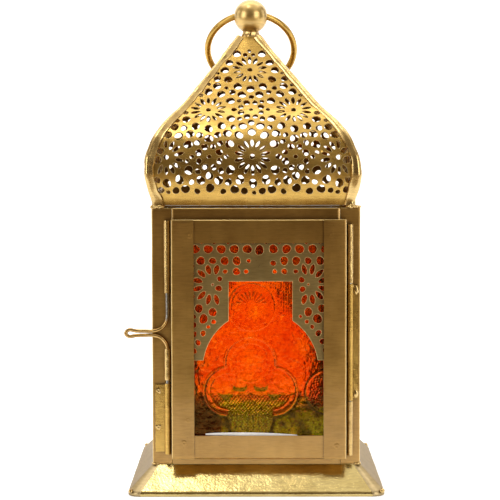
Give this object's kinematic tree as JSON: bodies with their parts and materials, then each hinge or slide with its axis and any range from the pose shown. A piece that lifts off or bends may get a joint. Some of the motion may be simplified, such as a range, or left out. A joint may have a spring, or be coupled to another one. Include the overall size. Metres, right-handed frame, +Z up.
{
  "type": "candle lantern",
  "caption": "Square glazed lantern with a hinged front door, a wire slide latch, a pierced onion-dome roof, and a ball finial with a carrying ring.",
  "frame": {"origin": "middle of the base's underside, on the surface the lantern stands on", "axes": "+Z up, -Y out through the front door, +X to the right as seen from the front (the hinge side)"},
  "size_m": [0.1246, 0.1228, 0.2399],
  "materials": {
    "gold_paint": "satin metallic gold",
    "bright_gold": "glossy metallic gold",
    "bare_steel": "plain wire, part covered by paint",
    "amber_glass": "pressed glass, gloss"
  },
  "bodies": {
    "body": {"base_skirt_front": "bright_gold", "base_skirt_right": "bright_gold", "base_skirt_back": "bright_gold", "base_skirt_left": "bright_gold", "deck_plate": "gold_paint", "candle_cup": "bright_gold", "corner_post_front_left": "gold_paint", "corner_post_front_right": "gold_paint", "corner_post_back_right": "gold_paint", "corner_post_back_left": "gold_paint", "top_rail_front": "gold_paint", "top_rail_right": "gold_paint", "top_rail_back": "gold_paint", "top_rail_left": "gold_paint", "bottom_rail_front": "gold_paint", "bottom_rail_right": "gold_paint", "bottom_rail_back": "gold_paint", "bottom_rail_left": "gold_paint", "fretwork_right": "gold_paint", "glass_right": "amber_glass", "pane_ledge_right": "gold_paint", "fretwork_back": "gold_paint", "glass_back": "amber_glass", "pane_ledge_back": "gold_paint", "fretwork_left": "gold_paint", "glass_left": "amber_glass", "pane_ledge_left": "gold_paint", "hinge_leaf_middle": "bright_gold", "hinge_pin": "bare_steel", "latch_keeper": "bright_gold", "roof_panel_front": "bright_gold", "roof_panel_right": "bright_gold", "roof_panel_back": "bright_gold", "roof_panel_left": "bright_gold", "roof_hip_front_left": "bright_gold", "roof_hip_front_right": "bright_gold", "roof_hip_back_right": "bright_gold", "roof_hip_back_left": "bright_gold", "roof_seat": "gold_paint", "finial_collar": "bright_gold", "finial_ball": "bright_gold"},
    "door": {"door_stile_left": "gold_paint", "door_stile_right": "gold_paint", "door_rail_top": "gold_paint", "door_rail_bottom": "gold_paint", "door_fretwork": "gold_paint", "door_glass": "amber_glass", "door_clip_top_left": "bare_steel", "door_clip_top_right": "bare_steel", "door_clip_bottom_left": "bare_steel", "door_clip_bottom_right": "bare_steel", "hinge_knuckle_top": "bright_gold", "hinge_knuckle_bottom": "bright_gold", "latch_guide_upper": "bright_gold", "latch_guide_lower": "bright_gold"},
    "latch": {"latch_wire": "bare_steel"},
    "ring": {"carry_ring": "bright_gold"}
  },
  "joints": [
    {"name": "door_hinge", "type": "hinge", "parent": "body", "child": "door", "pos_m": [0.0449, -0.0518, 0.074], "axis": [0, 0, 1], "range_deg": [0, 125]},
    {"name": "latch_slide", "type": "slide", "parent": "door", "child": "latch", "axis": [0, 0, 1], "range_m": [0, 0.012]},
    {"name": "ring_swing", "type": "hinge", "parent": "body", "child": "ring", "pos_m": [-0.0024, 0, 0.2314], "axis": [1, 0, 0], "range_deg": [0, 278]}
  ]
}
